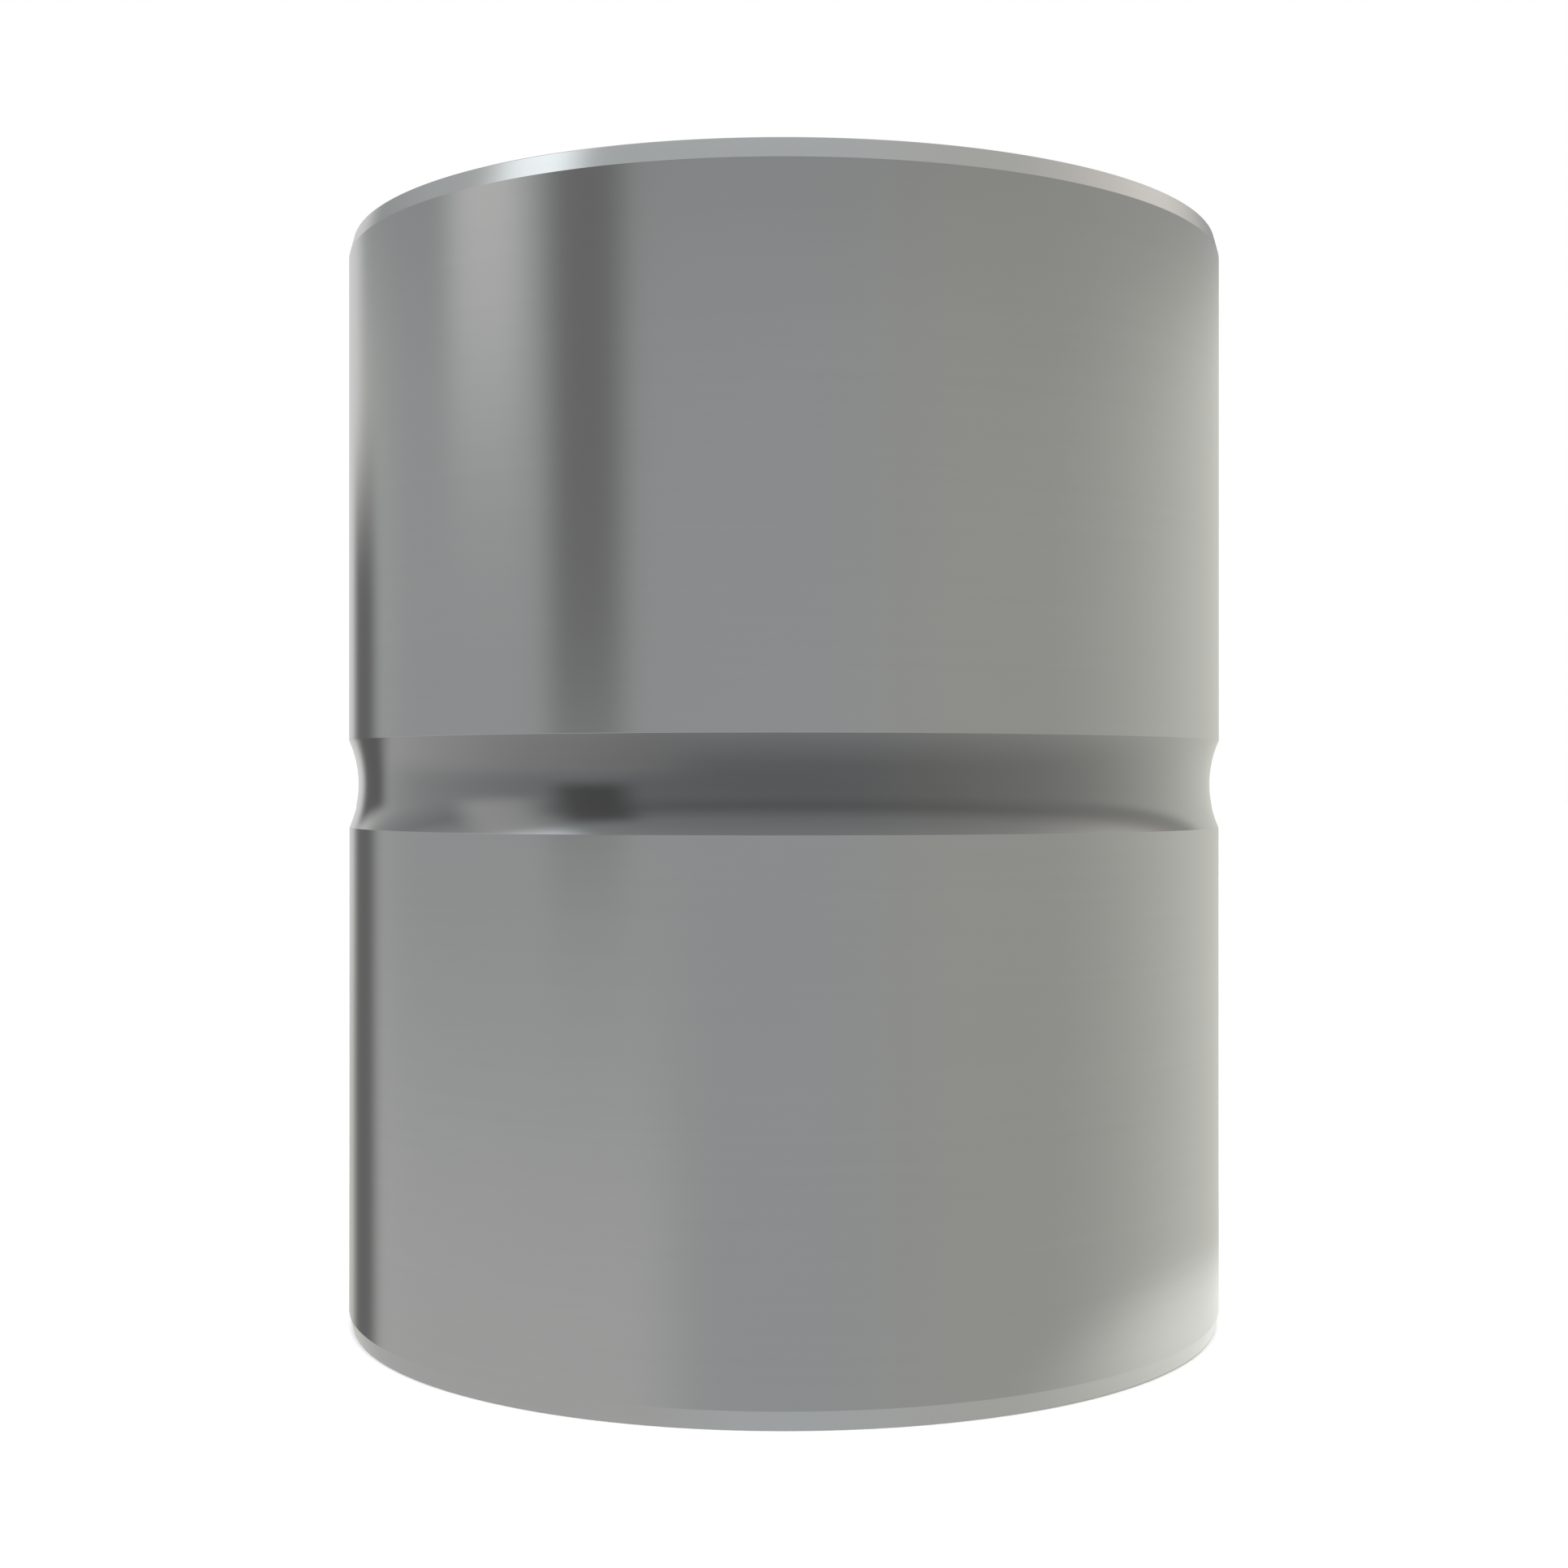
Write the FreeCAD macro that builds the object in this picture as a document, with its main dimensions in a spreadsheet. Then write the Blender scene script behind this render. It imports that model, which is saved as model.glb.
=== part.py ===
import FreeCAD, Part
import os
import Sketcher

# Rigid sleeve coupling, in millimetres.
#
# A one-piece steel sleeve joins two shafts of the same size end to end. Each shaft reaches to
# the middle of the bore, where a shallow relief clears its end. A broached keyway carries the
# torque through a parallel key in each shaft. In each half one set screw presses on the key and
# one, a quarter turn away, presses on the shaft.
#
# Frame: the origin is the centre of the sleeve, +Z runs along the bore, +Y points to the keyway
# and +X points to the screws that press on the shaft.

# Driving dimensions: alias, value, meaning.
DIMENSIONS = (
    ("outer_diameter", 50.0, "outside of the sleeve"),
    ("sleeve_length", 61.2, "end face to end face"),
    ("bore_diameter", 25.0, "H7 bore for both shafts"),
    ("rim_chamfer_length", 1.0, "outer rim chamfer, along the axis"),
    ("rim_chamfer_angle", 15.0, "outer rim chamfer, from the axis, in degrees"),
    ("bore_chamfer", 1.0, "45 degree lead-in at each end of the bore"),
    ("waist_radius", 6.0, "section radius of the groove round the middle"),
    ("waist_depth", 0.52, "depth of the groove round the middle"),
    ("relief_width", 8.0, "relief in the middle of the bore, along the axis"),
    ("relief_depth", 0.5, "relief in the middle of the bore, below the bore wall"),
    ("key_width", 8.0, "width of the parallel key and its keyway"),
    ("key_height", 7.0, "height of the parallel key"),
    ("key_seat_depth", 4.0, "depth of the shaft's own keyway"),
    ("key_top_clearance", 0.3, "gap between the key and the keyway floor"),
    ("keyway_corner_radius", 0.25, "round left by the broach in the keyway's corners"),
    ("thread_diameter", 7.188, "pitch diameter of the M8 x 1.25 thread"),
    ("thread_pitch", 1.25, "advance of a set screw in one turn"),
    ("thread_clearance", 0.03, "radial gap between a screw and its hole"),
    ("screw_end_distance", 15.3, "screw axis to the nearer end face"),
    ("countersink_width", 0.8, "width all round of a screw hole's 90 degree lead-in"),
    ("side_screw_recess", 2.75, "outer end below the outside when tight on the shaft"),
    ("key_screw_recess", 1.6, "outer end below the outside when tight on the key"),
    ("shaft_bite", 0.25, "how far a tight cup point sinks into the shaft"),
    ("key_bite", 0.1, "how far a tight cup point sinks into the key"),
    ("slack_turns", 1.0, "turns that a screw stands back from tight"),
    ("cup_diameter", 5.0, "rim of the cup point"),
    ("cup_depth", 1.2, "depth of the cone inside the cup point"),
    ("head_chamfer", 0.6, "45 degree chamfer at a screw's socket end"),
    ("socket_width", 4.0, "hexagon socket across its flats"),
    ("side_socket_depth", 5.0, "socket depth of a screw on the shaft"),
    ("key_socket_depth", 3.0, "socket depth of a screw on the key"),
)

# Formulas that several features share. The radii are measured from the sleeve's axis.
OUTER_RADIUS = "dims.outer_diameter / 2"
BORE_RADIUS = "dims.bore_diameter / 2"
KEY_TOP = "(dims.bore_diameter / 2 - dims.key_seat_depth + dims.key_height)"
KEYWAY_FLOOR = f"({KEY_TOP} + dims.key_top_clearance)"
SIDE_SEAT = "(dims.bore_diameter / 2 - dims.shaft_bite)"
KEY_SEAT = f"({KEY_TOP} - dims.key_bite)"
SCREW_HEIGHT = "(dims.sleeve_length / 2 - dims.screw_end_distance)"

# Each kind of set screw: the radius at which its tip seats, how deep its outer end then lies, how
# deep its socket is, the axis that it points out along, and the turn that lays it that way.
SCREW_KINDS = {
    "key_screw": {
        "seat": KEY_SEAT,
        "recess": "dims.key_screw_recess",
        "socket_depth": "dims.key_socket_depth",
        "outward": "y",
        "turn": FreeCAD.Rotation(FreeCAD.Vector(1, 0, 0), -90),
    },
    "side_screw": {
        "seat": SIDE_SEAT,
        "recess": "dims.side_screw_recess",
        "socket_depth": "dims.side_socket_depth",
        "outward": "x",
        "turn": FreeCAD.Rotation(FreeCAD.Vector(0, 1, 0), 90),
    },
}
SCREW_ENDS = {"upper": "", "lower": "-"}


def add_sheet(doc):
    """Write the driving dimensions, each with its alias and its meaning."""
    sheet = doc.addObject("Spreadsheet::Sheet", "dims")
    for row, (alias, value, meaning) in enumerate(DIMENSIONS, start=1):
        sheet.set(f"A{row}", meaning)
        sheet.set(f"B{row}", str(value))
        sheet.setAlias(f"B{row}", alias)
    doc.recompute()
    return sheet


def add_body(doc, label):
    """Start a sub-part under its own label."""
    body = doc.addObject("PartDesign::Body", label)
    body.Label = label
    return body


def origin_plane(body, role):
    """Find one of the body's own origin planes."""
    return next(item for item in body.Origin.OriginFeatures if item.Role == role)


def add_sketch(body, name, role, offset=None):
    """Attach a sketch to an origin plane, at an offset along its normal if one is given."""
    sketch = body.newObject("Sketcher::SketchObject", name)
    sketch.AttachmentSupport = [(origin_plane(body, role), "")]
    sketch.MapMode = "FlatFace"
    if offset:
        sketch.setExpression("AttachmentOffset.Base.z", offset)
    return sketch


def drive(sketch, constraint, formula):
    """Add a dimension and bind it to the sheet."""
    index = sketch.addConstraint(constraint)
    sketch.setExpression(f"Constraints[{index}]", formula)


def value_of(sketch, formula):
    """Work out a formula, for a sketch's first guess."""
    return float(sketch.evalExpression(formula))


def draw_polygon(sketch, corners):
    """Draw a closed outline whose corners are pairs of formulas."""
    points = [FreeCAD.Vector(value_of(sketch, x), value_of(sketch, y), 0) for x, y in corners]
    count = len(corners)
    for index in range(count):
        sketch.addGeometry(Part.LineSegment(points[index], points[(index + 1) % count]))
    for index in range(count):
        following = (index + 1) % count
        sketch.addConstraint(Sketcher.Constraint("Coincident", index, 2, following, 1))
    for index, (x, y) in enumerate(corners):
        for kind, formula in (("DistanceX", x), ("DistanceY", y)):
            start = value_of(sketch, formula)
            drive(sketch, Sketcher.Constraint(kind, -1, 1, index, 1, start), formula)


def draw_circle(sketch, x, y, radius):
    """Draw a circle whose centre and radius are formulas."""
    centre = FreeCAD.Vector(value_of(sketch, x), value_of(sketch, y), 0)
    size = value_of(sketch, radius)
    circle = sketch.addGeometry(Part.Circle(centre, FreeCAD.Vector(0, 0, 1), size))
    drive(sketch, Sketcher.Constraint("Radius", circle, size), radius)
    for kind, start, formula in (("DistanceX", centre.x, x), ("DistanceY", centre.y, y)):
        drive(sketch, Sketcher.Constraint(kind, -1, 1, circle, 3, start), formula)


def draw_hexagon(sketch, width):
    """Draw a hexagon round the origin, given its width across flats as a formula."""
    half_flat = f"{width} / 2"
    half_side = f"{width} / 2 * tan(30 deg)"
    corner = f"{width} / 2 / cos(30 deg)"
    draw_polygon(sketch, [
        (half_flat, half_side), ("0", corner), (f"-{half_flat}", half_side),
        (f"-{half_flat}", f"-{half_side}"), ("0", f"-{corner}"), (half_flat, f"-{half_side}"),
    ])


def revolve(body, kind, name, sketch):
    """Turn a sketch round its own vertical axis, to add or to cut."""
    feature = body.newObject(f"PartDesign::{kind}", name)
    feature.Profile = sketch
    feature.ReferenceAxis = (sketch, ["V_Axis"])
    feature.Angle = 360
    return feature


def cut_through(body, name, sketch):
    """Cut a sketch through the whole body, both ways."""
    feature = body.newObject("PartDesign::Pocket", name)
    feature.Profile = sketch
    feature.Type = "ThroughAll"
    feature.SideType = "Two sides"
    feature.Type2 = "ThroughAll"
    return feature


def edges_where(shape, test):
    """Name the edges that pass a test."""
    return [f"Edge{number}" for number, edge in enumerate(shape.Edges, start=1) if test(edge)]


def require_change(before, feature):
    """Stop if a feature has neither taken away nor added anything."""
    if abs(feature.Shape.Volume - before.Shape.Volume) < 1e-3:
        raise RuntimeError(f"{feature.Label} changes nothing")


def turn_blank(body):
    """Turn the outside of the sleeve with its two rim chamfers."""
    end = "dims.sleeve_length / 2"
    shoulder = f"({end} - dims.rim_chamfer_length)"
    rim = f"({OUTER_RADIUS} - dims.rim_chamfer_length * tan(dims.rim_chamfer_angle * 1 deg))"
    sketch = add_sketch(body, "blank_section", "XZ_Plane")
    draw_polygon(sketch, [
        ("0", f"-{end}"), (rim, f"-{end}"), (OUTER_RADIUS, f"-{shoulder}"),
        (OUTER_RADIUS, shoulder), (rim, end), ("0", end),
    ])
    return revolve(body, "Revolution", "blank", sketch)


def turn_waist(body):
    """Cut the shallow round-bottomed groove at mid-length."""
    sketch = add_sketch(body, "waist_section", "XZ_Plane")
    centre = f"{OUTER_RADIUS} - dims.waist_depth + dims.waist_radius"
    draw_circle(sketch, centre, "0", "dims.waist_radius")
    return revolve(body, "Groove", "waist", sketch)


def bore_sleeve(body):
    """Bore the sleeve from end to end."""
    sketch = add_sketch(body, "bore_circle", "XY_Plane")
    draw_circle(sketch, "0", "0", BORE_RADIUS)
    return cut_through(body, "bore", sketch)


def relieve_bore(body):
    """Cut the relief that clears the two shaft ends."""
    half = "dims.relief_width / 2"
    floor = f"({BORE_RADIUS} + dims.relief_depth)"
    sketch = add_sketch(body, "relief_section", "XZ_Plane")
    draw_polygon(sketch, [
        (f"{BORE_RADIUS} / 2", f"-{half}"), (floor, f"-{half}"),
        (floor, half), (f"{BORE_RADIUS} / 2", half),
    ])
    return revolve(body, "Groove", "bore_relief", sketch)


def chamfer_bore(doc, body, bored, sheet):
    """Chamfer the bore's two mouths."""
    doc.recompute()
    radius = sheet.bore_diameter / 2
    end = sheet.sleeve_length / 2

    def is_mouth(edge):
        curve = edge.Curve
        return (isinstance(curve, Part.Circle) and abs(curve.Radius - radius) < 1e-4
                and abs(abs(curve.Center.z) - end) < 1e-4)

    chamfer = body.newObject("PartDesign::Chamfer", "bore_mouths")
    chamfer.Base = (bored, edges_where(bored.Shape, is_mouth))
    chamfer.setExpression("Size", "dims.bore_chamfer")
    return chamfer


def broach_keyway(body):
    """Broach the keyway from end to end, on the +Y side."""
    half = "dims.key_width / 2"
    sketch = add_sketch(body, "keyway_section", "XY_Plane")
    draw_polygon(sketch, [
        (f"-{half}", "0"), (half, "0"), (half, KEYWAY_FLOOR), (f"-{half}", KEYWAY_FLOOR),
    ])
    return cut_through(body, "keyway", sketch)


def round_keyway(doc, body, keyway, sheet):
    """Round the two long corners of the keyway's floor."""
    doc.recompute()
    half = sheet.key_width / 2
    floor = value_of(body, KEYWAY_FLOOR)

    def is_corner(edge):
        start, finish = (vertex.Point for vertex in edge.Vertexes)
        runs_along = abs(start.x - finish.x) < 1e-4 and abs(start.y - finish.y) < 1e-4
        return runs_along and abs(abs(start.x) - half) < 1e-4 and abs(start.y - floor) < 1e-4

    long_edges = edges_where(keyway.Shape, lambda edge: len(edge.Vertexes) == 2 and is_corner(edge))
    fillet = body.newObject("PartDesign::Fillet", "keyway_corners")
    fillet.Base = (keyway, long_edges)
    fillet.setExpression("Radius", "dims.keyway_corner_radius")
    return fillet


def drill_screw_holes(doc, body, name, role, offset, flip):
    """Drill the holes of one row of screws, from the outside in to the sleeve's axis."""
    sketch = add_sketch(body, f"{name}_centres", role, offset)
    for sign in SCREW_ENDS.values():
        draw_circle(sketch, "0", f"{sign}{SCREW_HEIGHT}", "dims.thread_diameter / 2")
    doc.recompute()
    hole = body.newObject("PartDesign::Hole", name)
    hole.Profile = sketch
    hole.Threaded = False
    hole.DepthType = "Dimension"
    hole.DrillPoint = "Flat"
    hole.HoleCutType = "Countersink"
    hole.HoleCutCustomValues = True
    hole.HoleCutCountersinkAngle = 90
    hole.Reversed = flip
    hole.setExpression("Diameter", "dims.thread_diameter")
    hole.setExpression("HoleCutDiameter", "dims.thread_diameter + 2 * dims.countersink_width")
    hole.setExpression("Depth", OUTER_RADIUS)
    doc.recompute()
    return hole


def make_sleeve(doc, sheet):
    """Make the sleeve in the order in which it is machined."""
    body = add_body(doc, "sleeve")
    steps = [turn_blank(body)]
    steps.append(turn_waist(body))
    steps.append(bore_sleeve(body))
    steps.append(relieve_bore(body))
    steps.append(chamfer_bore(doc, body, steps[-1], sheet))
    steps.append(broach_keyway(body))
    steps.append(round_keyway(doc, body, steps[-1], sheet))
    steps.append(drill_screw_holes(doc, body, "key_screw_holes", "XZ_Plane",
                                   f"-{OUTER_RADIUS}", flip=True))
    steps.append(drill_screw_holes(doc, body, "side_screw_holes", "YZ_Plane",
                                   OUTER_RADIUS, flip=False))
    doc.recompute()
    for before, step in zip(steps, steps[1:]):
        require_change(before, step)
    return body


def make_screw(doc, label, kind, sign):
    """Make one cup-point set screw, tip down along its own +Z, and lay it in its hole."""
    body = add_body(doc, label)
    length = f"({OUTER_RADIUS} - {kind['recess']} - {kind['seat']})"
    radius = "(dims.thread_diameter / 2 - dims.thread_clearance)"
    cup = "dims.cup_diameter / 2"

    section = add_sketch(body, f"{label}_section", "XZ_Plane")
    draw_polygon(section, [
        ("0", "dims.cup_depth"), (cup, "0"), (radius, f"{radius} - {cup}"),
        (radius, f"{length} - dims.head_chamfer"),
        (f"{radius} - dims.head_chamfer", length), ("0", length),
    ])
    shank = revolve(body, "Revolution", f"{label}_shank", section)

    hexagon = add_sketch(body, f"{label}_hexagon", "XY_Plane", length)
    draw_hexagon(hexagon, "dims.socket_width")
    socket = body.newObject("PartDesign::Pocket", f"{label}_socket")
    socket.Profile = hexagon
    socket.Type = "Length"
    socket.setExpression("Length", kind["socket_depth"])
    doc.recompute()
    require_change(shank, socket)

    body.Placement = FreeCAD.Placement(FreeCAD.Vector(0, 0, 0), kind["turn"])
    tip = f"{kind['seat']} + dims.slack_turns * dims.thread_pitch"
    body.setExpression(f"Placement.Base.{kind['outward']}", tip)
    body.setExpression("Placement.Base.z", f"{sign}{SCREW_HEIGHT}")
    return body


def check_document(doc, bodies):
    """Stop if any object has failed or any sub-part is not one valid solid."""
    for item in doc.Objects:
        if "Invalid" in item.State or "Error" in item.State:
            raise RuntimeError(f"{item.Label} failed: {item.State}")
    for body in bodies:
        shape = body.Shape
        if shape.isNull() or not shape.isValid() or len(shape.Solids) != 1:
            raise RuntimeError(f"{body.Label} is not one valid solid")


def main():
    """Build every sub-part, check it and write it to its own file."""
    doc = FreeCAD.newDocument("sleeve_coupling")
    sheet = add_sheet(doc)
    bodies = [make_sleeve(doc, sheet)]
    for kind_name, kind in SCREW_KINDS.items():
        for end, sign in SCREW_ENDS.items():
            bodies.append(make_screw(doc, f"{kind_name}_{end}", kind, sign))
    doc.recompute()
    check_document(doc, bodies)

    os.makedirs("parts", exist_ok=True)
    for body in bodies:
        body.Shape.exportStep(f"parts/{body.Label}.step")
        box = body.Shape.optimalBoundingBox()
        print(f"{body.Label}: {body.Shape.Volume:.1f} mm3, x {box.XMin:.3f} to {box.XMax:.3f}, "
              f"y {box.YMin:.3f} to {box.YMax:.3f}, z {box.ZMin:.3f} to {box.ZMax:.3f}")


main()
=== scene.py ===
"""Looks of a rigid sleeve coupling, built round its packed mechanical model.

The sleeve and its four set screws are made here at their true size, with the cut threads, the
edge breaks and the machined finishes that the mechanical model leaves out. Each piece is worked
out in millimetres and then brought to metres, in the frame of the mechanical model: the origin is
the centre of the sleeve, +Z runs along the bore, +Y points to the keyway and +X to the screws
that press on the shaft.
"""

import logging
import math
from dataclasses import dataclass
from enum import Enum, IntEnum

import bpy
import numpy as np
from mathutils import Matrix, Vector


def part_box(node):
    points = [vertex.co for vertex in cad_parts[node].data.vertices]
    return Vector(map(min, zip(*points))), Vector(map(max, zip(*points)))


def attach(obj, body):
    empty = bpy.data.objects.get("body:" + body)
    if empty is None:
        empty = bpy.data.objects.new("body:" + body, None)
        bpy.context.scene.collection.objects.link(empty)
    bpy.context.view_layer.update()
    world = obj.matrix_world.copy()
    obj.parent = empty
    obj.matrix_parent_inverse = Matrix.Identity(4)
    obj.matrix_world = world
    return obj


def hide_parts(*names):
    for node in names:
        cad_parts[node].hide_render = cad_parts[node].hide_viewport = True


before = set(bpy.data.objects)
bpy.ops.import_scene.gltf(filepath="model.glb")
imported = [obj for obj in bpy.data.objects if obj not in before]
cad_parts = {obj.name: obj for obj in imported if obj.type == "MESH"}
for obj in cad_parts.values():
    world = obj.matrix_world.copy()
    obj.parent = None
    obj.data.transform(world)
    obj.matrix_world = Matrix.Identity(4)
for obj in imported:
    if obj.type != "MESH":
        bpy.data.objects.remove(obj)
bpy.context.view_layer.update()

MM = 0.001
Colour = tuple[float, float, float]
UNIT_SQUARE = ((-1, -1), (1, -1), (1, 1), (-1, 1))
log = logging.getLogger("sleeve_coupling")


# Shader arithmetic ----------------------------------------------------------------------------


class Value:
    """A number on a node socket, used in ordinary arithmetic."""

    def __init__(self, graph: "Graph", socket: bpy.types.NodeSocket) -> None:
        """Keep the socket and the graph that it belongs to."""
        self.graph = graph
        self.socket = socket

    def __add__(self, other: "Value | float") -> "Value":
        """Return self + other."""
        return self.graph.maths("ADD", self, other)

    def __radd__(self, other: float) -> "Value":
        """Return other + self."""
        return self.graph.maths("ADD", other, self)

    def __sub__(self, other: "Value | float") -> "Value":
        """Return self - other."""
        return self.graph.maths("SUBTRACT", self, other)

    def __rsub__(self, other: float) -> "Value":
        """Return other - self."""
        return self.graph.maths("SUBTRACT", other, self)

    def __mul__(self, other: "Value | float") -> "Value":
        """Return self * other."""
        return self.graph.maths("MULTIPLY", self, other)

    def __rmul__(self, other: float) -> "Value":
        """Return other * self."""
        return self.graph.maths("MULTIPLY", other, self)

    def __neg__(self) -> "Value":
        """Return -self."""
        return self.graph.maths("MULTIPLY", self, -1.0)

    def __abs__(self) -> "Value":
        """Return the size of self."""
        return self.graph.maths("ABSOLUTE", self)

    def root(self) -> "Value":
        """Return the square root of self."""
        return self.graph.maths("SQRT", self)

    def ease(self, low: float, high: float) -> "Value":
        """Turn self into a smooth step.

        Args:
            low: The value at which the step is 0.
            high: The value at which the step is 1. It may be below low.

        Returns:
            A value from 0 to 1.
        """
        node = self.graph.add("ShaderNodeMapRange", {"interpolation_type": "SMOOTHSTEP"},
                              {"Value": self, "From Min": min(low, high), "From Max": max(low, high),
                               "To Min": float(low > high), "To Max": float(low < high)})
        return Value(self.graph, node.outputs["Result"])


class Graph:
    """Adds nodes to one node tree."""

    def __init__(self, tree: bpy.types.NodeTree) -> None:
        """Empty the tree and keep it."""
        tree.nodes.clear()
        self.tree = tree

    def add(self, kind: str, settings: dict[str, object] | None = None,
            sockets: dict[str | int, object] | None = None) -> bpy.types.Node:
        """Add a node.

        Args:
            kind: The node's type name.
            settings: Its properties, set first. "stops" are a colour ramp's places and colours.
            sockets: Values, sockets or constants by input name or number.

        Returns:
            The new node.
        """
        node = self.tree.nodes.new(kind)
        for name, setting in (settings or {}).items():
            if name == "stops":
                self.set_stops(node.color_ramp, setting)
            else:
                setattr(node, name, setting)
        for key, value in (sockets or {}).items():
            if isinstance(value, Value):
                value = value.socket
            if isinstance(value, bpy.types.NodeSocket):
                self.tree.links.new(value, node.inputs[key])
            else:
                node.inputs[key].default_value = value
        return node

    def set_stops(self, ramp: bpy.types.ColorRamp, stops: list[tuple[float, Colour]]) -> None:
        """Give a colour ramp its stops, from first to last."""
        while len(ramp.elements) < len(stops):
            ramp.elements.new(1.0)
        for element, (place, colour) in zip(ramp.elements, stops):
            element.position = place
            element.color = (*colour, 1.0)

    def maths(self, operation: str, *operands: "Value | float") -> Value:
        """Add a Math node and return its result."""
        node = self.add("ShaderNodeMath", {"operation": operation}, dict(enumerate(operands)))
        return Value(self, node.outputs[0])

    def mix(self, share: "Value | float", first: object, second: object) -> bpy.types.NodeSocket:
        """Mix two colours.

        Args:
            share: How much of the second colour there is, from 0 to 1.
            first: A colour, or the socket that gives it.
            second: A colour, or the socket that gives it.

        Returns:
            The socket of the mixed colour.
        """
        first, second = ((*c, 1.0) if isinstance(c, tuple) else c for c in (first, second))
        node = self.add("ShaderNodeMix", {"data_type": "RGBA"}, {0: share, 6: first, 7: second})
        return node.outputs[2]

    def split(self, vector: bpy.types.NodeSocket) -> tuple[Value, Value, Value]:
        """Return the three parts of a vector."""
        node = self.add("ShaderNodeSeparateXYZ", sockets={0: vector})
        return tuple(Value(self, output) for output in node.outputs)

    def join(self, *parts: "Value | float") -> bpy.types.NodeSocket:
        """Return the vector that has these three parts."""
        return self.add("ShaderNodeCombineXYZ", sockets=dict(enumerate(parts))).outputs[0]

    def noise(self, place: bpy.types.NodeSocket, detail: float = 2.0) -> Value:
        """Return a smooth noise about 0, from -0.5 to 0.5, with one bump to a unit of place."""
        node = self.add("ShaderNodeTexNoise", {"noise_dimensions": "3D", "normalize": True},
                        {"Vector": place, "Scale": 1.0, "Detail": detail, "Roughness": 0.55})
        return Value(self, node.outputs[0]) - 0.5


# Finishes -------------------------------------------------------------------------------------


class Lay(Enum):
    """The way that a tool's marks run on a surface."""

    AROUND = "rings round the axis, one above the other"
    FACED = "rings on an end face, one inside the other"
    ALONG = "lines along the axis"
    PLAIN = "no direction"


@dataclass(frozen=True)
class Metal:
    """A machined metal surface with its tool marks and clouding.

    Attributes:
        name: The material's name.
        colour: The metal's own colour.
        roughness: Its mean roughness.
        lay: The way that the tool marks run.
        spacing: Distance between tool marks, in millimetres.
        depth: Depth of the tool marks, in millimetres.
        streak: How much the marks change colour and roughness, as a share.
        cloud: How much slow patches change colour and roughness, as a share.
        cloud_size: Size of the slow patches, in millimetres.
        glancing: Colour that it nears at a glancing angle, or None for its own; its darker own colour
            face-on is then painted shade.
        glancing_blend: How early the glancing colour comes in, from 0 to 1.
        stretch: How fast the marks change along their length, as a share of across it.
        polish: How much smoother it is where it is worn bare, as a share.
    """

    name: str
    colour: Colour
    roughness: float
    lay: Lay = Lay.AROUND
    spacing: float = 0.4
    depth: float = 0.0003
    streak: float = 0.05
    cloud: float = 0.04
    cloud_size: float = 9.0
    glancing: Colour | None = None
    glancing_blend: float = 0.615
    stretch: float = 0.02
    polish: float = 0.4

    def coordinates(self, graph: Graph, x: Value, y: Value, z: Value) -> bpy.types.NodeSocket:
        """Stretch the place along the tool marks, so that noise draws them as lines."""
        fine, long = 1.0 / self.spacing, self.stretch / self.spacing
        if self.lay is Lay.AROUND:
            return graph.join(x * long, y * long, z * fine)
        if self.lay is Lay.FACED:
            return graph.join(x * long, y * long, (x * x + y * y).root() * fine)
        if self.lay is Lay.ALONG:
            return graph.join(x * fine, y * fine, z * long)
        return graph.join(x * fine, y * fine, z * fine)

    def wear(self, graph: Graph, x: Value, y: Value, z: Value) -> Value | None:
        """Return the share of bare metal that shows through, or None for a bare metal."""
        return None

    def shade(self, colour: Colour, share: float) -> Colour:
        """Scale a colour by a share above or below its own."""
        return tuple(min(part * (1.0 + share), 1.0) for part in colour)

    def material(self) -> bpy.types.Material:
        """Build the material.

        Returns:
            A metal whose colour, roughness and relief follow its tool marks and clouding.
        """
        material = bpy.data.materials.new(self.name)
        material.use_nodes = True
        graph = Graph(material.node_tree)
        place = graph.add("ShaderNodeTexCoord").outputs["Object"]
        x, y, z = (part * (1.0 / MM) for part in graph.split(place))
        marks = graph.noise(self.coordinates(graph, x, y, z), detail=3.0)
        patch = 1.0 / self.cloud_size
        cloud = graph.noise(graph.join(x * patch, y * patch, z * patch))

        change = self.streak + self.cloud
        share = (marks * (self.streak / change) + cloud * (self.cloud / change)) * 2.0 + 0.5
        colour = graph.mix(share, self.shade(self.colour, -change), self.shade(self.colour, change))
        roughness = (marks * self.streak + cloud * self.cloud) * (-2.0 * self.roughness)
        roughness = roughness + self.roughness
        worn = self.wear(graph, x, y, z)
        if worn is not None:
            colour = graph.mix(worn, colour, BARE_STEEL)
            roughness = roughness - worn * (self.polish * self.roughness)
        bump = graph.add("ShaderNodeBump", sockets={"Strength": 1.0, "Distance": self.depth * MM,
                                                    "Height": marks * 2.0})
        sockets = {"Metallic": 1.0, "Roughness": roughness, "Normal": bump.outputs["Normal"]}
        surface = graph.add("ShaderNodeBsdfPrincipled", sockets={"Base Color": colour, **sockets})
        # Painted shade: where a glancing colour is set, the darker own colour shows face-on and fades
        # to the unshaded glancing colour at a slant.
        if self.glancing is not None:
            unshaded_surface = graph.add("ShaderNodeBsdfPrincipled",
                              sockets={"Base Color": (*self.glancing, 1.0), **sockets})
            facing = graph.add("ShaderNodeLayerWeight", sockets={"Blend": self.glancing_blend})
            surface = graph.add("ShaderNodeMixShader", sockets={
                0: facing.outputs["Facing"], 1: surface.outputs[0], 2: unshaded_surface.outputs[0]})
        graph.add("ShaderNodeOutputMaterial", sockets={"Surface": surface.outputs[0]})
        return material


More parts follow.
